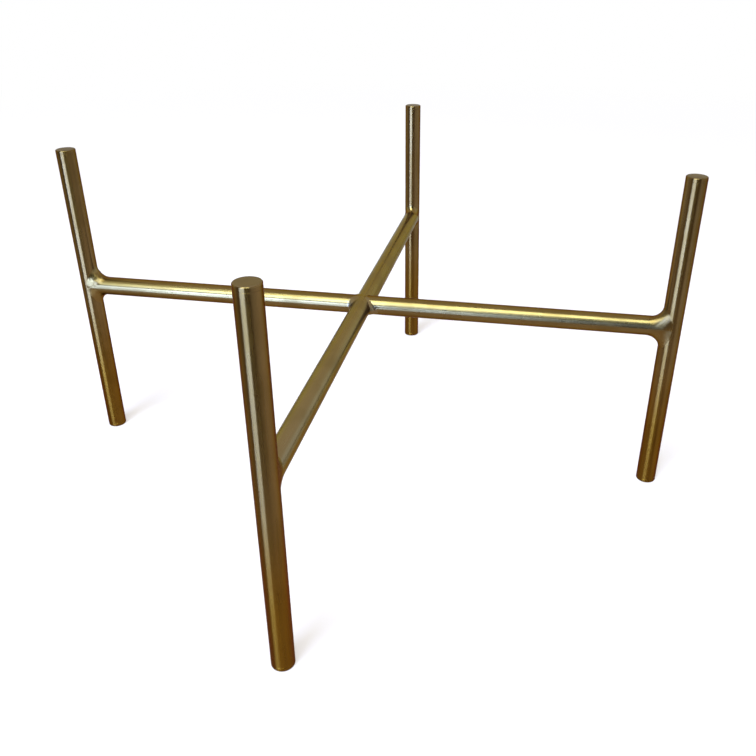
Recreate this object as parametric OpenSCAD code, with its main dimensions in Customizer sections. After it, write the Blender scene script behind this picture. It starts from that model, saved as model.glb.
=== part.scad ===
// Low welded plant stand: four upright tube legs on a level cross of tube bars.
// The pot rests on the cross, between the four leg tops.
//
// Frame: millimetres, +Z up. The origin is on the floor, under the middle of the cross.
// The through bar runs front to back along Y (the front leg is at -Y), and the two
// half bars run left and right along X. Every bar end is coped to the round tube that
// it meets, and closed with a weld fillet that runs all the way round the saddle.

/* [Pot] */
// Diameter of the pot that fits between the legs, a 12 inch one
pot_d = 305; // [200:1:400]

/* [Legs] */
// Height of the stand, from the floor to the leg tops
leg_h = 168; // [130:1:300]
// Outer diameter of the leg tube
leg_d = 10; // [10:0.5:16]
// Wall of the leg tube
leg_wall = 1.2; // [0.8:0.1:2]

/* [Crossbars] */
// Height of the bars' centre line above the floor
bar_axis_h = 92; // [30:1:105]
// Outer diameter of the bar tube, no wider than the leg tube
bar_d = 10; // [6:0.5:10]
// Wall of the bar tube
bar_wall = 1.2; // [0.8:0.1:2]
// Gap that a cope leaves to the tube that it seats on
cope_gap = 0.1; // [0.05:0.05:0.3]

/* [End caps] */
// Thickness of a cap's head, which lies flush with the tube
cap_head_t = 2; // [1.5:0.1:4]
// Radius of the rounded rim of a cap's head
cap_edge_r = 0.9; // [0.3:0.1:1.2]
// Length of the spigot that plugs the tube
spigot_l = 8; // [4:0.5:14]
// Radial clearance of the spigot in the tube's bore
spigot_fit = 0.1; // [0.05:0.05:0.3]

/* [Leg welds] */
// Size of a leg weld's fillet above the bar
leg_weld_up = 5; // [3:0.5:7]
// Size of a leg weld's fillet below the bar
leg_weld_down = 4; // [3:0.5:7]

/* [Centre welds] */
// Size of a centre weld's fillet in the corners of the cross
centre_weld = 3.5; // [2.5:0.5:6]

/* [Weld bead] */
// Size of every weld where the two tubes run side by side
bead_side = 1.5; // [1:0.1:2.5]
// How far a bead stands proud of a plain hollow fillet
bead_proud = 0.35; // [0.3:0.05:0.5]
// Clearance between a bead and the tubes that it closes
bead_fit = 0.05; // [0.03:0.01:0.1]

/* [Hidden] */
$fn = 96;

// Directions of the legs from the middle of the cross, in degrees about +Z:
// the through bar runs straight from front to back, and the half bars leave it square
BACK = 90;
FRONT = BACK + 180;
RIGHT = BACK - 90;
LEFT = BACK + 90;

leg_r = leg_d / 2;
bar_r = bar_d / 2;
leg_centre = pot_d / 2 + leg_r;

// Depth to which a bead's toes and root reach into the tubes before they are cut
bead_sink = 0.3;
bead_root = 0.6;
// Weight that turns the fillet's curve into a round arc at a square corner
arc_weight = 0.7;
// Sections round a bead, and steps across its face
bead_sections = 40;
bead_steps = 7;
// Length of the round cutters that shape beads and copes
cutter_l = 60;

steel_gold = [0.66, 0.50, 0.22];
cap_gold = [0.58, 0.45, 0.24];
weld_gold = [0.72, 0.57, 0.28];

// ---- Places ----

// Moves a piece that stands on the origin to a leg's place on the floor
module at_leg(direction) {
    rotate([0, 0, direction]) translate([leg_centre, 0, 0]) children();
}

// Turns a piece that lies along +X at floor level to a bar's place and direction
module along_bar(direction) {
    rotate([0, 0, direction]) translate([0, 0, bar_axis_h]) children();
}

// ---- Tubes ----

// Hollow round tube along +Z, from the origin up
module tube(length, outer_r, wall) {
    difference() {
        cylinder(h = length, r = outer_r);
        translate([0, 0, -1]) cylinder(h = length + 2, r = outer_r - wall);
    }
}

// Leg tube, which stops short of the floor and of the top by the caps' heads
module leg(direction) {
    color(steel_gold) at_leg(direction) translate([0, 0, cap_head_t])
        tube(leg_h - 2 * cap_head_t, leg_r, leg_wall);
}

// Round cutter for the bar end that meets a leg
module leg_cope() {
    translate([leg_centre, 0, 0])
        cylinder(h = cutter_l, r = leg_r + cope_gap, center = true);
}

// Round cutter for the half bar's end that meets the through bar
module bar_cope() {
    rotate([90, 0, 0]) cylinder(h = cutter_l, r = bar_r + cope_gap, center = true);
}

// Bar that runs unbroken from the front leg to the back leg, coped at both ends
module through_bar() {
    color(steel_gold) along_bar(BACK) difference() {
        translate([-leg_centre, 0, 0]) rotate([0, 90, 0])
            tube(2 * leg_centre, bar_r, bar_wall);
        leg_cope();
        mirror([1, 0, 0]) leg_cope();
    }
}

// Bar from the through bar to a leg, coped across at one end and upright at the other
module half_bar(direction) {
    color(steel_gold) along_bar(direction) difference() {
        rotate([0, 90, 0]) tube(leg_centre, bar_r, bar_wall);
        bar_cope();
        leg_cope();
    }
}

// ---- End caps ----

// Half outline of a cap: a rounded head below the tube's end, and a spigot above it
module cap_outline() {
    translate([0, cap_edge_r]) square([leg_r, cap_head_t - cap_edge_r]);
    square([leg_r - cap_edge_r, cap_head_t]);
    translate([leg_r - cap_edge_r, cap_edge_r]) circle(cap_edge_r);
    square([leg_r - leg_wall - spigot_fit, cap_head_t + spigot_l]);
}

module foot_cap(direction) {
    color(cap_gold) at_leg(direction) rotate_extrude() cap_outline();
}

module top_cap(direction) {
    color(cap_gold) at_leg(direction) translate([0, 0, leg_h]) mirror([0, 0, 1])
        rotate_extrude() cap_outline();
}

// ---- Weld beads ----
// A bead closes the tee of a post along Z and a branch that leaves it along +X.
// It is a ring of sections, one for each angle t about the branch, where 90 is up.
// Each section runs over the face of the fillet from its toe on the post to its toe
// on the branch, and back through a root inside both.

// Point where the branch's surface meets the post's
function saddle(t, post_r, branch_r) = [
    sqrt(max(0, post_r * post_r - pow(branch_r * cos(t), 2))),
    branch_r * cos(t),
    branch_r * sin(t)
];

// Full size of the fillet on the side that angle t is on
function fillet_size(t, up, down) = sin(t) > 0 ? up : down;

// Toe on the post, at depth below its surface
function post_toe(t, post_r, branch_r, size, depth) =
    let (p = saddle(t, post_r, branch_r))
    let (reach = bead_side + (size - bead_side) * pow(sin(t), 2))
    let (turn = atan2(p.y, p.x) + reach * cos(t) / post_r * 180 / PI)
    let (r = post_r - depth)
    [r * cos(turn), r * sin(turn), p.z + reach * sin(t)];

// Toe on the branch, at depth below its surface
function branch_toe(t, post_r, branch_r, size, depth) =
    let (p = saddle(t, post_r, branch_r))
    let (r = branch_r - depth)
    [norm([p.x, bead_side]) + size * pow(sin(t), 2), r * cos(t), r * sin(t)];

// Root of the bead, inside both tubes
function bead_root_point(t, post_r, branch_r) =
    let (p = saddle(t, post_r, branch_r))
    let (r = branch_r - bead_root)
    [p.x - bead_root, r * cos(t), r * sin(t)];

// Direction away from both surfaces at the saddle
function outward(p, post_r, branch_r) =
    let (n = [p.x, p.y, 0] / post_r + [0, p.y, p.z] / branch_r)
    n / norm(n);

// Point at share u across the fillet's face, from the post's toe to the branch's
function face_point(u, t, post_r, branch_r, size) =
    let (a = post_toe(t, post_r, branch_r, size, 0))
    let (b = branch_toe(t, post_r, branch_r, size, 0))
    let (p = saddle(t, post_r, branch_r))
    let (wa = pow(1 - u, 2), wp = 2 * u * (1 - u) * arc_weight, wb = u * u)
    (wa * a + wp * p + wb * b) / (wa + wp + wb)
        + outward(p, post_r, branch_r) * bead_proud * 4 * u * (1 - u);

// One closed section of the bead
function bead_section(t, post_r, branch_r, size) = concat(
    [post_toe(t, post_r, branch_r, size, bead_sink)],
    [for (i = [1 : bead_steps - 1]) face_point(i / bead_steps, t, post_r, branch_r, size)],
    [branch_toe(t, post_r, branch_r, size, bead_sink)],
    [bead_root_point(t, post_r, branch_r)]
);

// Ring of the sections, as one solid, with the post and the branch cut out of it
module tee_bead(post_r, branch_r, up, down) {
    count = bead_steps + 2;
    points = [for (i = [0 : bead_sections - 1])
        let (t = i * 360 / bead_sections)
        for (p = bead_section(t, post_r, branch_r, fillet_size(t, up, down))) p];
    faces = [for (i = [0 : bead_sections - 1]) for (j = [0 : count - 1])
        let (i2 = (i + 1) % bead_sections, j2 = (j + 1) % count)
        for (f = [
            [i * count + j, i * count + j2, i2 * count + j2],
            [i * count + j, i2 * count + j2, i2 * count + j]
        ]) f];
    difference() {
        polyhedron(points = points, faces = faces, convexity = 6);
        cylinder(h = cutter_l, r = post_r + bead_fit, center = true);
        rotate([0, 90, 0]) cylinder(h = cutter_l, r = branch_r + bead_fit);
    }
}

// Bead between a bar and a leg
module leg_weld(direction) {
    color(weld_gold) at_leg(direction) translate([0, 0, bar_axis_h])
        mirror([1, 0, 0]) tee_bead(leg_r, bar_r, leg_weld_up, leg_weld_down);
}

// Bead between a half bar and the through bar, which stops where it meets the other one
module centre_weld(direction) {
    color(weld_gold) along_bar(direction) difference() {
        rotate([90, 0, 0]) tee_bead(bar_r, bar_r, centre_weld, centre_weld);
        translate([bead_fit / 2 - cutter_l, -cutter_l / 2, -cutter_l / 2])
            cube([cutter_l, cutter_l, cutter_l]);
    }
}

// ---- The stand ----

leg(FRONT);  // leg_front
leg(BACK);  // leg_back
leg(LEFT);  // leg_left
leg(RIGHT);  // leg_right
top_cap(FRONT);  // top_cap_front
top_cap(BACK);  // top_cap_back
top_cap(LEFT);  // top_cap_left
top_cap(RIGHT);  // top_cap_right
foot_cap(FRONT);  // foot_cap_front
foot_cap(BACK);  // foot_cap_back
foot_cap(LEFT);  // foot_cap_left
foot_cap(RIGHT);  // foot_cap_right
through_bar();
half_bar(LEFT);  // half_bar_left
half_bar(RIGHT);  // half_bar_right
leg_weld(FRONT);  // weld_front
leg_weld(BACK);  // weld_back
leg_weld(LEFT);  // weld_left
leg_weld(RIGHT);  // weld_right
centre_weld(LEFT);  // centre_weld_left
centre_weld(RIGHT);  // centre_weld_right
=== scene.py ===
"""Low welded plant stand in satin gold: tubes, ground end caps and dressed welds."""

import logging
import math
from dataclasses import dataclass
from enum import Enum
from typing import Callable

import bmesh
import bpy
from mathutils import Matrix, Vector, noise


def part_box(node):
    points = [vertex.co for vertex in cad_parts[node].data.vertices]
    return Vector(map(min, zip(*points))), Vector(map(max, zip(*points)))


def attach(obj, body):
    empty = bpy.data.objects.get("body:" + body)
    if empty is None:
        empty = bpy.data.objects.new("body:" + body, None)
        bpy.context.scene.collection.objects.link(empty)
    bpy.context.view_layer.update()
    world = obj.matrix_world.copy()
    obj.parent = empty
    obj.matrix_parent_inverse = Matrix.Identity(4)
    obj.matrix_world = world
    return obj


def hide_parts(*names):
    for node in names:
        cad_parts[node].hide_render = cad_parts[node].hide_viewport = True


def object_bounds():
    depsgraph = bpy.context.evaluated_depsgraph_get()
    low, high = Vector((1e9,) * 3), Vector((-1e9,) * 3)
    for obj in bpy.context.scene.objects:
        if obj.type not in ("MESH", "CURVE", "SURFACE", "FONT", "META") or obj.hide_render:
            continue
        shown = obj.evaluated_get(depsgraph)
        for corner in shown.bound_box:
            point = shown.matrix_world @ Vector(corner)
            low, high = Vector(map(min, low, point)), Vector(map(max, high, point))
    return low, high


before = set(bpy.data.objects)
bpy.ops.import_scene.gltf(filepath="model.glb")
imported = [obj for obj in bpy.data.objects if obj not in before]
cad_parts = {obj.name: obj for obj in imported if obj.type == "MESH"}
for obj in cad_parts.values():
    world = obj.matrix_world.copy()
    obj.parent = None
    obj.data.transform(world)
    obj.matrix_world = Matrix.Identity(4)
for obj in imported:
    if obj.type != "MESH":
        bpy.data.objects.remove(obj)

CAD_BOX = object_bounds()
LOG = logging.getLogger("plant_stand")
MM = 0.001
BODY = "root"
WORLD_UP = Vector((0.0, 0.0, 1.0))
WHITE = (1.0, 1.0, 1.0, 1.0)
UV_NAME = "wrap"
MERGE_GAP = 0.001 * MM
ON_AXIS = 0.01 * MM
AREA_LAMP_POWER = 4.0  # Blender's watts for each unit of radiance and square metre

Colour = tuple[float, float, float, float]
Pair = tuple[float, float]
Scale = tuple[float, float, float]


# ---- Named choices and sizes ----


class Side(Enum):
    """The four legs by their side of the stand, with the heading from its middle."""

    FRONT = (0.0, -1.0)
    BACK = (0.0, 1.0)
    LEFT = (-1.0, 0.0)
    RIGHT = (1.0, 0.0)

    @property
    def heading(self) -> Vector:
        """Level direction from the middle of the cross to the leg."""
        return Vector((*self.value, 0.0))

    @property
    def tag(self) -> str:
        """Ending of the names of the pieces on this side."""
        return self.name.lower()


class LegEnd(Enum):
    """The two ends of a leg."""

    TOP = "top"
    FOOT = "foot"


class Slot(Enum):
    """The record's material slots."""

    TUBE = "gold_tube"
    CAP = "gold_cap"
    WELD = "gold_weld"


@dataclass(frozen=True)
class StandSizes:
    """Main sizes of the stand in metres, as the CAD model's boxes give them.

    The wall and the narrow gap at the copes don't show in a box, so they are given here.
    """

    leg_r: float
    leg_reach: float
    height: float
    cap_head: float
    bar_r: float
    bar_z: float
    wall: float = 1.2 * MM
    cope_gap: float = 0.03 * MM

    @classmethod
    def from_frame(cls) -> "StandSizes":
        """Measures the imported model.

        Returns:
            The sizes that every piece is built from.
        """
        leg_low, leg_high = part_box("leg_right")
        bar_low, bar_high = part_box("through_bar")
        return cls(
            leg_r=(leg_high.x - leg_low.x) / 2,
            leg_reach=(leg_high.x + leg_low.x) / 2,
            height=CAD_BOX[1].z,
            cap_head=leg_low.z,
            bar_r=(bar_high.x - bar_low.x) / 2,
            bar_z=(bar_high.z + bar_low.z) / 2,
        )


# ---- Mesh helpers ----


def axes(origin: Vector, along: Vector, across: Vector) -> Matrix:
    """Matrix that stands a piece built along +Z at its place.

    Args:
        origin: where the piece's own origin goes.
        along: direction that its +Z turns to.
        across: direction that its +X turns to.

    Returns:
        The 4x4 matrix.
    """
    third = along.cross(across)
    turned = Matrix((across, third, along)).transposed()
    return Matrix.Translation(origin) @ turned.to_4x4()


def revolve(profile: list[tuple[float, float]], steps: int, closed: bool) -> bmesh.types.BMesh:
    """Spins an outline of (radius, height) points about +Z.

    Args:
        profile: points of the outline, in order.
        steps: number of steps round the axis.
        closed: whether the outline's last point joins its first.

    Returns:
        The new mesh, closed, with its faces outwards.
    """
    bm = bmesh.new()
    verts = [bm.verts.new((r, 0.0, z)) for r, z in profile]
    ends = verts[1:] + verts[:1] if closed else verts[1:]
    edges = [bm.edges.new(pair) for pair in zip(verts, ends)]
    bmesh.ops.spin(
        bm, geom=verts + edges, cent=(0, 0, 0), axis=(0, 0, 1),
        angle=math.tau, steps=steps, use_merge=True,
    )
    bmesh.ops.remove_doubles(bm, verts=bm.verts, dist=MERGE_GAP)
    bmesh.ops.recalc_face_normals(bm, faces=bm.faces)
    return bm


def wrap_uv(
    bm: bmesh.types.BMesh, radius: float, start: float = 0.0, turned: bool = False
) -> None:
    """Lays a UV map round +Z in metres: U runs along the piece and V round it.

    Args:
        bm: the mesh, still along +Z.
        radius: radius at which V is true to size.
        start: U at height 0.
        turned: whether U and V run the other way, for a piece that is placed upside down.
    """
    way = -1.0 if turned else 1.0
    layer = bm.loops.layers.uv.new(UV_NAME)
    for face in bm.faces:
        middle = face.calc_center_median()
        turn = math.atan2(middle.y, middle.x)
        for loop in face.loops:
            co = loop.vert.co
            r = math.hypot(co.x, co.y)
            angle = math.atan2(co.y, co.x) if r > ON_AXIS else turn
            angle += math.tau * round((turn - angle) / math.tau)
            # On a flat end the map runs on from the rim to the middle.
            rise = 1.0 if co.z > 0 else -1.0
            loop[layer].uv = (start + way * (co.z + rise * (radius - r)), way * angle * radius)


def make_piece(
    bm: bmesh.types.BMesh, name: str, place: Matrix, looks: list[bpy.types.Material],
    sharp: float = 35.0,
) -> bpy.types.Object:
    """Turns a finished bmesh into a piece with its place in its mesh.

    Args:
        bm: the mesh along +Z, which is freed.
        name: name of the piece.
        place: where it goes in the stand's frame.
        looks: its materials, in the order of the faces' indices.
        sharp: angle in degrees above which an edge stays sharp.

    Returns:
        The new object, at the origin and unturned.
    """
    bm.transform(place)
    mesh = bpy.data.meshes.new(name)
    bm.to_mesh(mesh)
    bm.free()
    for look in looks:
        mesh.materials.append(look)
    mesh.shade_smooth()
    mesh.set_sharp_from_angle(angle=math.radians(sharp))
    piece = bpy.data.objects.new(name, mesh)
    bpy.context.scene.collection.objects.link(piece)
    return piece


def hand_over(piece: bpy.types.Object, node: str, slot: Slot) -> None:
    """Lets a piece ride on the stand in place of its CAD node.

    Args:
        piece: the finished piece.
        node: the CAD node that it stands for.
        slot: not used.
    """
    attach(piece, BODY)
    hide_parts(node)
    LOG.info("%s: %d faces in place of %s", piece.name, len(piece.data.polygons), node)


# ---- Finishes ----


class Nodes:
    """Builds the node tree of one material or world."""

    # A Mix node has sockets for each kind of data, and these are the ones for colours.
    MIX_SHARE, MIX_LOW, MIX_HIGH, MIX_RESULT = 0, 6, 7, 2

    def __init__(self, owner: bpy.types.ID) -> None:
        """Starts a tree afresh.

        Args:
            owner: the material or world.
        """
        owner.use_nodes = True
        self.tree = owner.node_tree
        self.tree.nodes.clear()

    def add(self, kind: str, /, **sockets: object) -> bpy.types.Node:
        """Adds a node.

        Args:
            kind: the node's type, after "ShaderNode".
            **sockets: values or output sockets for its inputs, with _ for a space, or
                settings of the node where it has no input of that name.

        Returns:
            The new node.
        """
        node = self.tree.nodes.new("ShaderNode" + kind)
        settings = {k: v for k, v in sockets.items() if hasattr(node, k)}
        for key, value in settings.items():
            setattr(node, key, value)
        for key, value in sockets.items():
            if key not in settings:
                self.feed(node, key.replace("_", " "), value)
        return node

    def feed(self, node: bpy.types.Node, name: str | int, value: object) -> None:
        """Links or sets one input.

        Args:
            node: the node.
            name: the input's name or number.
            value: an output socket or a plain value.
        """
        socket = node.inputs[name]
        if isinstance(value, bpy.types.NodeSocket):
            self.tree.links.new(value, socket)
        else:
            socket.default_value = value

    def math(self, operation: str, *values: object) -> bpy.types.NodeSocket:
        """Adds a Math node.

        Args:
            operation: its operation.
            *values: its inputs, in order.

        Returns:
            Its output.
        """
        node = self.add("Math", operation=operation)
        for index, value in enumerate(values):
            self.feed(node, index, value)
        return node.outputs[0]

    def blend(
        self, share: object, low: object, high: object, way: str = "MIX"
    ) -> bpy.types.NodeSocket:
        """Adds a colour mix.

        Args:
            share: how much of the second colour shows.
            low: the first colour.
            high: the second colour.
            way: how they blend.

        Returns:
            The mixed colour.
        """
        node = self.add("Mix", data_type="RGBA", blend_type=way)
        for index, value in (
            (self.MIX_SHARE, share), (self.MIX_LOW, low), (self.MIX_HIGH, high)
        ):
            self.feed(node, index, value)
        return node.outputs[self.MIX_RESULT]

    def span(
        self, value: object, low: float, high: float, to_low: float = 0.0, to_high: float = 1.0
    ) -> bpy.types.NodeSocket:
        """Maps a value smoothly from one range to another.

        Args:
            value: what is mapped.
            low: start of its range.
            high: end of its range.
            to_low: result at the start.
            to_high: result at the end.

        Returns:
            The mapped value.
        """
        node = self.add("MapRange", interpolation_type="SMOOTHSTEP")
        for index, number in enumerate((value, low, high, to_low, to_high)):
            self.feed(node, index, number)
        return node.outputs[0]

    def grain(
        self, coords: bpy.types.NodeSocket, scale: Scale, detail: float = 2.0
    ) -> bpy.types.NodeSocket:
        """Adds noise that is stretched differently along each direction.

        Args:
            coords: the coordinates that it follows.
            scale: its scale along each of them.
            detail: how many finer layers it has.

        Returns:
            The noise, around 0.5.
        """
        stretched = self.add("Mapping", vector_type="POINT", Vector=coords, Scale=scale)
        return self.add(
            "TexNoise", Vector=stretched.outputs[0], Scale=1.0, Detail=detail, Roughness=0.55
        ).outputs[0]


@dataclass(frozen=True)
class GoldFinish:
    """Satin gold plating, polished round the tubes.

    The polishing lines run round the piece, so that highlights stretch along it. The
    wear mixes streaks along the piece with soft patches, and streaks is their share.
    A tint deepens the colour towards the floor, between two heights. It is a painted
    reflection of a warm floor. A scale is that of a noise, and the span beside it is
    the part of the noise that shows.
    """

    name: str
    base: Colour = (0.133, 0.071, 0.021, 1.0)
    worn: Colour = (0.100, 0.050, 0.012, 1.0)
    # painted reflection of a warm floor, which deepens the colour low down
    painted_reflection_tint: Colour = (0.98, 0.79, 0.28, 1.0)
    painted_reflection_span: Pair = (0.03, 0.09)
    edge_tint: Colour = (0.42, 0.31, 0.18, 1.0)
    lacquer: float = 0.03
    lacquer_roughness: float = 0.12
    roughness: float = 0.27
    worn_rougher: float = 0.10
    stretch: float = 1.0
    streaks: float = 0.6
    streak_scale: Scale = (9.0, 260.0, 1.0)
    streak_span: Pair = (0.40, 0.62)
    patch_scale: Scale = (55.0, 55.0, 55.0)
    patch_span: Pair = (0.42, 0.68)
    lines: float = 0.15
    line_scale: Scale = (7000.0, 60.0, 1.0)
    line_height: float = 0.02 * MM
    lumps: float = 0.0
    lump_scale: Scale = (420.0, 420.0, 420.0)
    lump_height: float = 0.25 * MM
    layers: float = 3.0

    def wear(
        self, n: Nodes, uv: bpy.types.NodeSocket, place: bpy.types.NodeSocket
    ) -> bpy.types.NodeSocket:
        """Adds the wear.

        Args:
            n: the material's nodes.
            uv: the map round the piece.
            place: the place on the stand.

        Returns:
            The wear, from 0 to 1.
        """
        patches = n.grain(place, self.patch_scale, self.layers)
        drawn = n.grain(uv, self.streak_scale, self.layers)
        return n.math(
            "ADD",
            n.math("MULTIPLY", n.span(drawn, *self.streak_span), self.streaks),
            n.math("MULTIPLY", n.span(patches, *self.patch_span), 1.0 - self.streaks),
        )

    def relief(
        self, n: Nodes, uv: bpy.types.NodeSocket, place: bpy.types.NodeSocket
    ) -> bpy.types.NodeSocket:
        """Adds the polishing lines, and the lumps of a weld where it has them.

        Args:
            n: the material's nodes.
            uv: the map round the piece.
            place: the place on the stand.

        Returns:
            The bumped normal.
        """
        lines = n.grain(uv, self.line_scale)
        relief = n.add(
            "Bump", Strength=self.lines, Distance=self.line_height, Height=lines
        ).outputs[0]
        if self.lumps:
            rises = n.grain(place, self.lump_scale, self.layers)
            relief = n.add(
                "Bump", Strength=self.lumps, Distance=self.lump_height, Height=rises,
                Normal=relief,
            ).outputs[0]
        return relief

    def material(self) -> bpy.types.Material:
        """Builds the finish.

        Returns:
            The new material.
        """
        made = bpy.data.materials.new(self.name)
        n = Nodes(made)
        uv = n.add("UVMap", uv_map=UV_NAME).outputs[0]
        place = n.add("TexCoord").outputs["Object"]
        wear = self.wear(n, uv, place)
        colour = n.blend(wear, self.base, self.worn)
        height = n.add("SeparateXYZ", Vector=place).outputs["Z"]
        # Painted reflection: a warm floor's reflection, painted in as a tint towards the floor.
        painted_reflection = n.blend(n.span(height, *self.painted_reflection_span), self.painted_reflection_tint, WHITE)
        colour = n.blend(1.0, colour, painted_reflection, "MULTIPLY")
        rough = n.math(
            "ADD",
            self.roughness - self.worn_rougher / 2,
            n.math("MULTIPLY", wear, self.worn_rougher),
        )
        along = n.add("Tangent", direction_type="UV_MAP", uv_map=UV_NAME).outputs[0]
        shader = n.add(
            "BsdfPrincipled", Base_Color=colour, Metallic=1.0, Roughness=rough,
            Anisotropic=self.stretch, Specular_Tint=self.edge_tint,
            Normal=self.relief(n, uv, place), Tangent=along,
            Coat_Weight=self.lacquer, Coat_Roughness=self.lacquer_roughness,
        )
        n.add("OutputMaterial", Surface=shader.outputs[0])
        return made


TUBE_FINISH = GoldFinish("satin_gold_tube")
HALF_BAR_FINISH = GoldFinish(
    "buffed_gold_bar", base=(0.140, 0.080, 0.024, 1.0), worn=(0.108, 0.059, 0.016, 1.0),
    roughness=0.30, stretch=0.5, streaks=0.4,
)
# Painted light: the bar gold made lighter and greyer for the through bar, standing in for the
# brighter reflection that it catches.
PAINTED_LIGHT_THROUGH_BAR_FINISH = GoldFinish(
    "satin_gold_bar_painted_lighter", base=(0.164, 0.102, 0.044, 1.0), worn=(0.131, 0.079, 0.032, 1.0),
    roughness=0.30, stretch=0.5, streaks=0.4, edge_tint=(0.52, 0.42, 0.29, 1.0),
)
FACE_FINISH = GoldFinish(
    "ground_gold_end", base=(0.122, 0.076, 0.038, 1.0), worn=(0.097, 0.058, 0.027, 1.0),
    roughness=0.5, stretch=0.0, streaks=0.0, edge_tint=(0.6, 0.48, 0.34, 1.0),
)
WELD_FINISH = GoldFinish(
    "dressed_gold_weld", base=(0.140, 0.077, 0.021, 1.0), worn=(0.104, 0.053, 0.013, 1.0),
    roughness=0.28, stretch=0.85, streaks=0.0, lumps=0.05,
)


# ---- Tubes and caps ----


@dataclass
class LegTube:
    """Upright tube of a leg, open at both ends until its caps close it."""

    sizes: StandSizes
    look: bpy.types.Material
    chamfer: float = 0.08 * MM
    steps: int = 96
    rings: int = 40

    def profile(self) -> list[tuple[float, float]]:
        """Draws the outline of the wall, with its outer edges broken.

        Returns:
            Its points as (radius, height).
        """
        s, c = self.sizes, self.chamfer
        low, high = s.cap_head, s.height - s.cap_head
        inner = s.leg_r - s.wall
        outer = [
            (s.leg_r, low + c + (high - low - 2 * c) * i / self.rings)
            for i in range(self.rings + 1)
        ]
        return [(inner, low), (s.leg_r - c, low), *outer, (s.leg_r - c, high), (inner, high)]

    def build(self, side: Side) -> bpy.types.Object:
        """Builds the leg tube of one side.

        Args:
            side: which leg.

        Returns:
            The piece.
        """
        bm = revolve(self.profile(), self.steps, closed=True)
        wrap_uv(bm, self.sizes.leg_r)
        place = axes(side.heading * self.sizes.leg_reach, WORLD_UP, side.heading)
        piece = make_piece(bm, f"tube_of_leg_{side.tag}", place, [self.look])
        hand_over(piece, f"leg_{side.tag}", Slot.TUBE)
        return piece


@dataclass
class EndCap:
    """Plug that closes a leg: a head with a rounded rim, and a spigot in the bore.

    Faces that lean less than ground_angle, in degrees, from the flat have the look of
    the ground end.
    """

    sizes: StandSizes
    side_look: bpy.types.Material
    face_look: bpy.types.Material
    rim_r: float = 0.6 * MM
    rim_steps: int = 8
    rim_land: float = 0.15 * MM
    face_rings: int = 6
    ground_angle: float = 35.0
    crown: float = 0.06 * MM
    chamfer: float = 0.08 * MM
    spigot: float = 8.0 * MM
    spigot_fit: float = 0.1 * MM
    steps: int = 96

    def profile(self) -> list[tuple[float, float]]:
        """Draws the outline, from the face's middle over the rim to the spigot.

        Returns:
            Its points as (radius, height), with the face at height 0 and the rest below.
        """
        s = self.sizes
        flat = s.leg_r - self.rim_r
        rings = self.face_rings
        face = [(flat * i / rings, -self.crown * (i / rings) ** 2) for i in range(rings + 1)]
        rim = []
        for i in range(1, self.rim_steps + 1):
            turn = math.pi / 2 * i / self.rim_steps
            rise = (self.rim_r - self.crown) * (1 - math.cos(turn))
            rim.append((flat + self.rim_r * math.sin(turn), -self.crown - rise))
        spigot_r = s.leg_r - s.wall - self.spigot_fit
        return [
            *face, *rim,
            (s.leg_r, -self.rim_r - self.rim_land),
            (s.leg_r, -s.cap_head + self.chamfer),
            (s.leg_r - self.chamfer, -s.cap_head),
            (spigot_r, -s.cap_head),
            (spigot_r, -s.cap_head - self.spigot),
            (0.0, -s.cap_head - self.spigot),
        ]

    def build(self, side: Side, end: LegEnd) -> bpy.types.Object:
        """Builds the cap of one end of one leg.

        Args:
            side: which leg.
            end: which end of it.

        Returns:
            The piece.
        """
        on_top = end is LegEnd.TOP
        height = self.sizes.height if on_top else 0.0
        bm = revolve(self.profile(), self.steps, closed=False)
        wrap_uv(bm, self.sizes.leg_r, start=height, turned=not on_top)
        least_rise = math.cos(math.radians(self.ground_angle))
        for face in bm.faces:
            face.material_index = int(face.normal.z > least_rise)
        out = WORLD_UP if on_top else -WORLD_UP
        spot = side.heading * self.sizes.leg_reach + WORLD_UP * height
        looks = [self.side_look, self.face_look]
        piece = make_piece(
            bm, f"plug_{end.value}_{side.tag}", axes(spot, out, side.heading), looks
        )
        hand_over(piece, f"{end.value}_cap_{side.tag}", Slot.CAP)
        return piece


@dataclass(frozen=True)
class Dent:
    """Shallow dent or flat in a bar.

    at is the distance along the bar, turn the angle round it in degrees from its top.
    length and width say how far it spreads along the bar and round it, in degrees.
    """

    at: float
    turn: float
    depth: float
    length: float
    width: float

    def drop(self, at: float, turn: float) -> float:
        """Works out the dent's depth at a place on the bar.

        Args:
            at: distance along the bar.
            turn: angle round it in degrees from its top.

        Returns:
            The depth.
        """
        away = (turn - self.turn + 180.0) % 360.0 - 180.0
        spread = ((at - self.at) / self.length) ** 2 + (away / self.width) ** 2
        return self.depth * math.exp(-spread)


LEFT_BAR_DENT = Dent(at=30 * MM, turn=125.0, depth=0.16 * MM, length=9 * MM, width=25.0)


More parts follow.
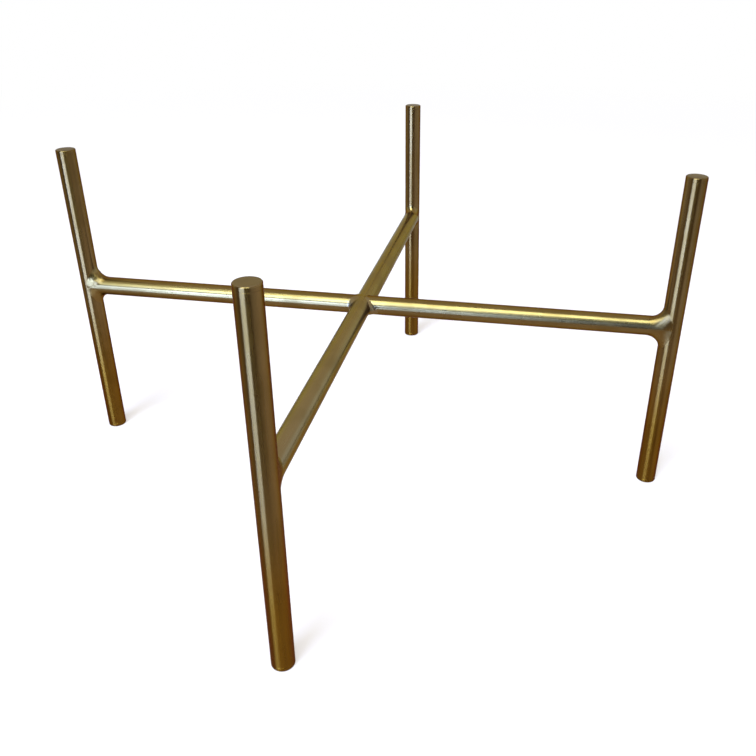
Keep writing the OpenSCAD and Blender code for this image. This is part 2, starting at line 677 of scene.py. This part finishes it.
@dataclass
class CrossBar:
    """Level tube of the cross, with its ends coped to the round of what they meet.

    wave is how deep its slight waviness goes, and the seeds give each bar its own.
    """

    sizes: StandSizes
    look: bpy.types.Material
    wave: float = 0.03 * MM
    wave_scale: float = 45.0
    through_seed: float = 11.0
    half_seed: float = 7.0
    steps: int = 96
    ring_gap: float = 1.5 * MM

    def leg_cope(self, side_way: float) -> float:
        """Distance from the middle of the stand to the leg's cope.

        Args:
            side_way: how far to the side of the bar's axis.

        Returns:
            The distance along the bar.
        """
        s = self.sizes
        return s.leg_reach - math.sqrt((s.leg_r + s.cope_gap) ** 2 - side_way**2)

    def bar_cope(self, up: float) -> float:
        """Distance from the middle of the stand to the cope round the through bar."""
        s = self.sizes
        return math.sqrt((s.bar_r + s.cope_gap) ** 2 - up**2)

    def tube(
        self, start: Callable[[Vector], float], dents: tuple[Dent, ...], seed: float
    ) -> bmesh.types.BMesh:
        """Builds the bar along +Z, with +X up.

        Args:
            start: where the near end is for a point of the tube; the far end is at the leg.
            dents: dents in its surface.
            seed: picks the bar's own slight waviness.

        Returns:
            The mesh.
        """
        s = self.sizes
        rings = round(s.leg_reach / self.ring_gap)
        inner, middle = s.bar_r - s.wall, s.bar_r - s.wall / 2
        profile = [(s.bar_r, i / rings) for i in range(rings + 1)] + [(inner, 1.0), (inner, 0.0)]
        bm = revolve(profile, self.steps, closed=True)
        for vert in bm.verts:
            co = vert.co
            near, far = start(co), self.leg_cope(co.y)
            co.z = near + (far - near) * co.z
            if math.hypot(co.x, co.y) > middle:
                turn = math.degrees(math.atan2(co.y, co.x))
                ripple = noise.noise(
                    Vector((co.x / s.bar_r, co.y / s.bar_r, co.z * self.wave_scale + seed))
                )
                drop = self.wave * (0.5 + 0.5 * ripple)
                drop += sum(dent.drop(co.z, turn) for dent in dents)
                co.x *= 1 - drop / s.bar_r
                co.y *= 1 - drop / s.bar_r
        wrap_uv(bm, s.bar_r)
        return bm

    def build_through(self, dents: tuple[Dent, ...] = ()) -> bpy.types.Object:
        """Builds the bar that runs unbroken from the front leg to the back leg.

        Args:
            dents: dents in its surface.

        Returns:
            The piece.
        """
        bm = self.tube(lambda co: -self.leg_cope(co.y), dents, self.through_seed)
        place = axes(WORLD_UP * self.sizes.bar_z, Side.BACK.heading, WORLD_UP)
        piece = make_piece(bm, "bar_front_to_back", place, [self.look])
        hand_over(piece, "through_bar", Slot.TUBE)
        return piece

    def build_half(self, side: Side, dents: tuple[Dent, ...] = ()) -> bpy.types.Object:
        """Builds the bar from the through bar to one side leg.

        Args:
            side: which leg.
            dents: dents in its surface.

        Returns:
            The piece.
        """
        seed = side.heading.x * self.half_seed
        bm = self.tube(lambda co: self.bar_cope(co.x), dents, seed)
        place = axes(WORLD_UP * self.sizes.bar_z, side.heading, WORLD_UP)
        piece = make_piece(bm, f"bar_to_{side.tag}", place, [self.look])
        hand_over(piece, f"half_bar_{side.tag}", Slot.TUBE)
        return piece


# ---- Welds ----


@dataclass(frozen=True)
class FilletSizes:
    """Sizes of the weld's fillet round a joint, in metres.

    ends are the radii of the fillet in the two square corners of the tee. reach is how
    far the bead laps onto the branch where the tubes run side by side. fade says how the
    fillet narrows towards that side: 1 for evenly, less for a bead that stays full. lean
    makes it fuller on one of the two sides. proud is how far the middle of its face
    swells, lumps how uneven it is towards each corner, and seed picks the lumps.
    """

    ends: tuple[float, float]
    fade: float = 0.45
    lean: float = 0.0
    reach: float = 1.5 * MM
    proud: float = 0.04 * MM
    lumps: tuple[float, float] = (0.03 * MM, 0.03 * MM)
    seed: float = 0.0

    def radius(self, up: float, side: float) -> float:
        """Radius of the fillet where up and side each run from -1 to 1 round the joint."""
        full = self.ends[0] if up > 0 else self.ends[1]
        return full * abs(up) ** self.fade * (1 + self.lean * side)

    def lump(self, up: float) -> float:
        """Height of the lumps at the share up between the corners."""
        return self.lumps[0] if up > 0 else self.lumps[1]


@dataclass
class WeldBead:
    """Dressed weld that closes the tee of a post along +Z and a branch along +X.

    The sections crowd towards the sides of the branch, where the fillet opens. Their
    faces are curves whose handles have the length that roundness gives, which is a
    quarter circle's. Each toe lies sink below its tube, and the root is hidden inside
    the walls. uv_steps are the map's steps over the face and round the joint.
    """

    look: bpy.types.Material
    sections: int = 160
    crowding: float = 0.42
    face_steps: int = 14
    roundness: float = 0.5523
    lap_power: float = 1.5
    lump_scale: float = 600.0
    lump_fall: float = 1.0
    lump_step: float = 2.0
    lump_layers: int = 3
    sink: float = 0.012 * MM
    root: float = 0.8 * MM
    heel: float = 0.3 * MM
    uv_steps: Pair = (0.5 * MM, 0.3 * MM)
    sharp: float = 60.0

    def section(
        self, turn: float, post_r: float, branch_r: float, fillet: FilletSizes
    ) -> list[Vector]:
        """One section of the bead, over its face and back through its root.

        Args:
            turn: angle round the branch, from the side towards the first corner.
            post_r: radius of the post.
            branch_r: radius of the branch.
            fillet: the bead's sizes.

        Returns:
            The section's points, from the toe on the post.
        """
        side, up = math.cos(turn), math.sin(turn)
        radius = fillet.radius(up, side)
        lap = fillet.reach * abs(side) ** self.lap_power
        post_out = Vector((abs(up), side, 0.0))
        rise = branch_r * up + math.copysign(radius, up)
        toe_post = post_out * (post_r - self.sink) + Vector((0, 0, rise))
        branch_out = Vector((0.0, side, up))
        along = post_r * abs(up) + radius + lap
        toe_branch = branch_out * (branch_r - self.sink) + Vector((along, 0, 0))
        leave = Vector((0, 0, toe_branch.z - toe_post.z)) * self.roundness
        arrive = Vector((toe_branch.x - toe_post.x, 0, 0)) * self.roundness
        outward = (post_out + branch_out).normalized()
        points = []
        for i in range(self.face_steps + 1):
            u = i / self.face_steps
            v = 1 - u
            spot = (
                toe_post * v**3
                + (toe_post + leave) * (3 * v * v * u)
                + (toe_branch - arrive) * (3 * v * u * u)
                + toe_branch * u**3
            )
            # The share is 1 at the middle of the face and 0 at its toes.
            swell = 16 * (u * v) ** 2 * math.sqrt(abs(up))
            rough = noise.fractal(
                spot * self.lump_scale + Vector((fillet.seed, 0, 0)),
                self.lump_fall, self.lump_step, self.lump_layers,
            )
            spot = spot + outward * swell * (fillet.proud + fillet.lump(up) * rough)
            points.append(spot)
        hidden = branch_out * (branch_r - self.root)
        points.append(hidden + Vector((toe_branch.x - self.heel, 0, 0)))
        points.append(hidden + Vector((max(self.heel, post_r * abs(up) - self.root), 0, 0)))
        points.append(post_out * (post_r - self.root) + Vector((0, 0, toe_post.z)))
        return points

    def tee(self, post_r: float, branch_r: float, fillet: FilletSizes) -> bmesh.types.BMesh:
        """Builds the bead as a ring of sections.

        A plain round ring gives the mesh its rows and columns, which then take the
        places of the sections' points.

        Args:
            post_r: radius of the post.
            branch_r: radius of the branch.
            fillet: the bead's sizes.

        Returns:
            The mesh, with the post along +Z and the branch along +X.
        """
        count = self.face_steps + 4  # the points of the face and three of the root
        ring_r, round_r = 1.0, 0.3
        bm = bmesh.new()
        standing = Matrix.Translation((ring_r, 0, 0)) @ Matrix.Rotation(math.pi / 2, 4, "X")
        ring = bmesh.ops.create_circle(
            bm, segments=count, radius=round_r, matrix=standing
        )["verts"]
        bmesh.ops.spin(
            bm, geom=ring + list(bm.edges), cent=(0, 0, 0), axis=(0, 0, 1),
            angle=math.tau, steps=self.sections, use_merge=True,
        )
        rows = []
        for i in range(self.sections):
            turn = math.tau * i / self.sections
            turn -= self.crowding * math.sin(2 * turn)
            rows.append(self.section(turn, post_r, branch_r, fillet))
        spots = {}
        for vert in bm.verts:
            x, y, z = vert.co
            i = round(math.atan2(y, x) / math.tau * self.sections) % self.sections
            # The circle's first point is at its top, a quarter turn on.
            share = math.atan2(z, math.hypot(x, y) - ring_r) / math.tau - 0.25
            j = round(share * count) % count
            spots[vert] = (i, j)
        layer = bm.loops.layers.uv.new(UV_NAME)
        for face in bm.faces:
            first = spots[face.loops[0].vert]
            for loop in face.loops:
                i, j = spots[loop.vert]
                i += self.sections * round((first[0] - i) / self.sections)
                j += count * round((first[1] - j) / count)
                loop[layer].uv = (j * self.uv_steps[0], i * self.uv_steps[1])
        for vert, (i, j) in spots.items():
            vert.co = rows[i][j]
        bmesh.ops.recalc_face_normals(bm, faces=bm.faces)
        return bm

    def build_leg_weld(
        self, side: Side, sizes: StandSizes, fillet: FilletSizes
    ) -> bpy.types.Object:
        """Builds the weld between a bar and a leg.

        Args:
            side: which leg.
            sizes: the stand's sizes.
            fillet: the bead's sizes, with the corner above the bar first.

        Returns:
            The piece.
        """
        spot = side.heading * sizes.leg_reach + WORLD_UP * sizes.bar_z
        place = axes(spot, WORLD_UP, -side.heading)
        bm = self.tee(sizes.leg_r, sizes.bar_r, fillet)
        piece = make_piece(bm, f"bead_{side.tag}", place, [self.look], self.sharp)
        hand_over(piece, f"weld_{side.tag}", Slot.WELD)
        return piece

    def build_centre_weld(
        self, side: Side, sizes: StandSizes, fillet: FilletSizes
    ) -> bpy.types.Object:
        """Builds the weld between a half bar and the through bar.

        Args:
            side: side of the half bar.
            sizes: the stand's sizes.
            fillet: the bead's sizes, with the corner towards the back first.

        Returns:
            The piece.
        """
        place = axes(WORLD_UP * sizes.bar_z, Side.BACK.heading, side.heading)
        bm = self.tee(sizes.bar_r, sizes.bar_r, fillet)
        piece = make_piece(bm, f"centre_bead_{side.tag}", place, [self.look], self.sharp)
        hand_over(piece, f"centre_weld_{side.tag}", Slot.WELD)
        return piece


LEG_FILLETS = {
    Side.LEFT: FilletSizes((6.5 * MM, 6.0 * MM), lumps=(0.25 * MM, 0.02 * MM), seed=1.0),
    Side.RIGHT: FilletSizes((6.0 * MM, 6.5 * MM), fade=0.36, lean=0.35, seed=2.0),
    Side.FRONT: FilletSizes((3.5 * MM, 6.0 * MM), seed=3.0),
    Side.BACK: FilletSizes((4.0 * MM, 3.0 * MM), lumps=(0.1 * MM, 0.03 * MM), seed=4.0),
}
CENTRE_FILLETS = {
    Side.LEFT: FilletSizes((2.6 * MM, 2.2 * MM), lean=0.6, seed=5.0),
    Side.RIGHT: FilletSizes(
        (1.8 * MM, 3.1 * MM), fade=0.6, lean=0.8, lumps=(0.0, 0.25 * MM), seed=6.0
    ),
}


# ---- Studio ----


@dataclass(frozen=True)
class PhotoCamera:
    """Camera at the photograph's viewing angle, for a square picture."""

    place: tuple[float, float, float] = (0.0881, -0.3737, 0.2606)
    azimuth: float = 10.73
    elevation: float = 27.06
    roll: float = -0.19
    lens: float = 37.434
    sensor: float = 36.0
    shift: Pair = (-0.02282, -0.03718)
    clip: Pair = (0.01, 60.0)

    def build(self) -> bpy.types.Object:
        """Makes the camera and gives it to the scene.

        Returns:
            The camera object.
        """
        data = bpy.data.cameras.new("photo_camera")
        data.lens, data.sensor_width = self.lens, self.sensor
        data.shift_x, data.shift_y = self.shift
        data.clip_start, data.clip_end = self.clip
        camera = bpy.data.objects.new("photo_camera", data)
        turned = (
            Matrix.Rotation(math.radians(self.azimuth), 4, "Z")
            @ Matrix.Rotation(math.radians(90.0 - self.elevation), 4, "X")
            @ Matrix.Rotation(math.radians(self.roll), 4, "Z")
        )
        camera.matrix_world = Matrix.Translation(self.place) @ turned
        bpy.context.scene.collection.objects.link(camera)
        bpy.context.scene.camera = camera
        return camera


@dataclass(frozen=True)
class Softbox:
    """Rectangular lamp that faces the cross of the stand, at the height of aim_z.

    heading is its azimuth in degrees from the front, positive to the right, and rise its
    angle above level.
    """

    name: str
    heading: float
    rise: float
    away: float
    size: Pair
    radiance: float
    colour: tuple[float, float, float]
    aim_z: float = 92 * MM

    def build(self) -> bpy.types.Object:
        """Makes the lamp, turned to the middle of the stand.

        Returns:
            The lamp object.
        """
        data = bpy.data.lights.new(self.name, "AREA")
        data.shape = "RECTANGLE"
        data.size, data.size_y = self.size
        data.energy = self.radiance * AREA_LAMP_POWER * self.size[0] * self.size[1]
        data.color = self.colour
        a, e = math.radians(self.heading), math.radians(self.rise)
        out = Vector((math.sin(a) * math.cos(e), -math.cos(a) * math.cos(e), math.sin(e)))
        lamp = bpy.data.objects.new(self.name, data)
        lamp.location = out * self.away + WORLD_UP * self.aim_z
        lamp.rotation_mode = "QUATERNION"
        lamp.rotation_quaternion = out.to_track_quat("Z", "Y")
        bpy.context.scene.collection.objects.link(lamp)
        return lamp


@dataclass(frozen=True)
class PaperFloor:
    """White paper floor that keeps the stand's shadow.

    Near the stand it is lit paper with a share of glow, and over the radii of glow_span
    it becomes plain white. Two things show in reflections alone, never to the camera:
    darker paper in front of the stand, over front_span along Y, and a sheen, which grows
    over sheen_span and ends over sheen_end.
    """

    radius: float = 12.0
    steps: int = 128
    paper: Colour = (0.53, 0.37, 0.29, 1.0)
    paper_roughness: float = 0.5
    mottle: Colour = (0.5, 0.5, 0.5, 1.0)
    mottle_scale: Scale = (3.0, 3.0, 3.0)
    mottle_share: float = 0.04
    front: Colour = (0.19, 0.13, 0.07, 1.0)
    front_span: Pair = (-0.38, -0.17)
    glow: float = 0.5
    glow_span: Pair = (0.25, 1.5)
    sheen_ior: float = 1.42
    sheen_roughness: float = 0.15
    sheen_levels: Pair = (0.2, 4.0)
    sheen_span: Pair = (0.12, 0.42)
    sheen_end: Pair = (0.7, 1.5)

    def sheen(
        self, n: Nodes, away: bpy.types.NodeSocket, unseen: bpy.types.NodeSocket
    ) -> bpy.types.NodeSocket:
        """Adds the strength of the sheen.

        Args:
            n: the material's nodes.
            away: distance from the middle of the stand.
            unseen: 1 for each ray that isn't the camera's.

        Returns:
            The strength.
        """
        fresnel = n.add("Fresnel", IOR=self.sheen_ior).outputs[0]
        sheen = n.math("MULTIPLY", fresnel, n.span(away, *self.sheen_end, 1.0, 0.0))
        grown = n.span(away, *self.sheen_span, *self.sheen_levels)
        return n.math("MULTIPLY", n.math("MULTIPLY", sheen, grown), unseen)

    def material(self) -> bpy.types.Material:
        """Builds the paper.

        Returns:
            The new material.
        """
        made = bpy.data.materials.new("pale_paper")
        n = Nodes(made)
        place = n.add("TexCoord").outputs["Object"]
        path = n.add("LightPath").outputs
        unseen = n.math("SUBTRACT", 1.0, path["Is Camera Ray"])
        depth = n.add("SeparateXYZ", Vector=place).outputs["Y"]
        ahead = n.math("MULTIPLY", n.span(depth, *self.front_span, 1.0, 0.0), unseen)
        colour = n.blend(ahead, self.paper, self.front)
        mottled = n.math("MULTIPLY", n.grain(place, self.mottle_scale), self.mottle_share)
        colour = n.blend(mottled, colour, self.mottle)
        seen = n.math("MAXIMUM", path["Is Camera Ray"], path["Is Glossy Ray"])
        seen = n.math("MAXIMUM", seen, path["Is Transmission Ray"])
        paper = n.add("BsdfDiffuse", Color=colour, Roughness=self.paper_roughness)
        white = n.blend(ahead, WHITE, self.front)
        glow = n.add("Emission", Color=white, Strength=seen)
        away = n.add("VectorMath", operation="LENGTH", Vector=place).outputs["Value"]
        both = n.add("MixShader", Fac=n.span(away, *self.glow_span, self.glow, 1.0))
        n.feed(both, 1, paper.outputs[0])
        n.feed(both, 2, glow.outputs[0])
        top = n.add("MixShader", Fac=self.sheen(n, away, unseen))
        n.feed(top, 1, both.outputs[0])
        n.feed(top, 2, n.add("BsdfGlossy", Roughness=self.sheen_roughness).outputs[0])
        n.add("OutputMaterial", Surface=top.outputs[0])
        return made

    def build(self) -> bpy.types.Object:
        """Lays the floor.

        Returns:
            The floor object.
        """
        bm = bmesh.new()
        bmesh.ops.create_circle(bm, cap_ends=True, segments=self.steps, radius=self.radius)
        floor = make_piece(bm, "floor", Matrix.Identity(4), [self.material()])
        return floor


@dataclass(frozen=True)
class Dome:
    """Soft light from all round, dim in front and bright behind and to the right.

    It is cooler low down than above. The spans run along the axes of the direction that
    is looked in. The camera sees plain white.
    """

    back_span: Pair = (-0.8, 0.2)
    back_levels: Pair = (0.08, 1.3)
    right_span: Pair = (0.40, 0.75)
    right_level: float = 1.2
    rise_span: Pair = (0.2, 0.55)
    low_colour: Colour = (1.15, 1.6, 2.4, 1.0)
    high_colour: Colour = (1.0, 1.12, 1.2, 1.0)

    def build(self) -> None:
        """Gives the scene its world."""
        world = bpy.data.worlds.new("dome")
        bpy.context.scene.world = world
        n = Nodes(world)
        way = n.add("TexCoord").outputs["Generated"]
        parts = n.add("SeparateXYZ", Vector=way).outputs
        level = n.math(
            "MAXIMUM",
            n.span(parts["Y"], *self.back_span, *self.back_levels),
            n.span(parts["X"], *self.right_span, 0.0, self.right_level),
        )
        colour = n.blend(n.span(parts["Z"], *self.rise_span), self.low_colour, self.high_colour)
        both = n.add("MixShader", Fac=n.add("LightPath").outputs["Is Camera Ray"])
        n.feed(both, 1, n.add("Background", Color=colour, Strength=level).outputs[0])
        n.feed(both, 2, n.add("Background", Color=WHITE).outputs[0])
        n.add("OutputWorld", Surface=both.outputs[0])


@dataclass(frozen=True)
class Studio:
    """Paper floor, dome and lamps."""

    floor: PaperFloor = PaperFloor()
    dome: Dome = Dome()
    lamps: tuple[Softbox, ...] = (
        Softbox("ceiling_panel", -5.0, 63.0, 2.0, (1.2, 1.0), 18.0, (0.56, 0.84, 1.0)),
        Softbox("skylight", -23.0, 38.0, 2.5, (1.20, 1.06), 30.0, (0.37, 0.60, 1.0)),
        Softbox("window", -23.0, 8.0, 2.5, (1.50, 0.7), 50.0, (0.18, 0.345, 1.0)),
    )

    def build(self) -> None:
        """Builds the whole studio."""
        self.floor.build()
        self.dome.build()
        for lamp in self.lamps:
            lamp.build()


# ---- The stand ----


def main() -> None:
    """Builds the stand and its studio."""
    logging.basicConfig(level=logging.INFO, format="%(name)s: %(message)s")
    sizes = StandSizes.from_frame()
    tube_look = TUBE_FINISH.material()
    half_look = HALF_BAR_FINISH.material()
    # Lighter copy of the bar gold, with painted light, for the through bar and the centre welds.
    painted_light_through_look = PAINTED_LIGHT_THROUGH_BAR_FINISH.material()
    face_look = FACE_FINISH.material()
    weld_look = WELD_FINISH.material()

    leg = LegTube(sizes, tube_look)
    cap = EndCap(sizes, tube_look, face_look)
    for side in Side:
        leg.build(side)
        for end in LegEnd:
            cap.build(side, end)

    CrossBar(sizes, painted_light_through_look).build_through()
    half_bar = CrossBar(sizes, half_look)
    half_bar.build_half(Side.LEFT, (LEFT_BAR_DENT,))
    half_bar.build_half(Side.RIGHT)

    leg_bead = WeldBead(weld_look)
    for side, fillet in LEG_FILLETS.items():
        leg_bead.build_leg_weld(side, sizes, fillet)
    centre_bead = WeldBead(painted_light_through_look)
    for side, fillet in CENTRE_FILLETS.items():
        centre_bead.build_centre_weld(side, sizes, fillet)

    PhotoCamera().build()
    Studio().build()
    bpy.context.scene.view_settings.view_transform = "Standard"


if __name__ == "__main__":
    main()
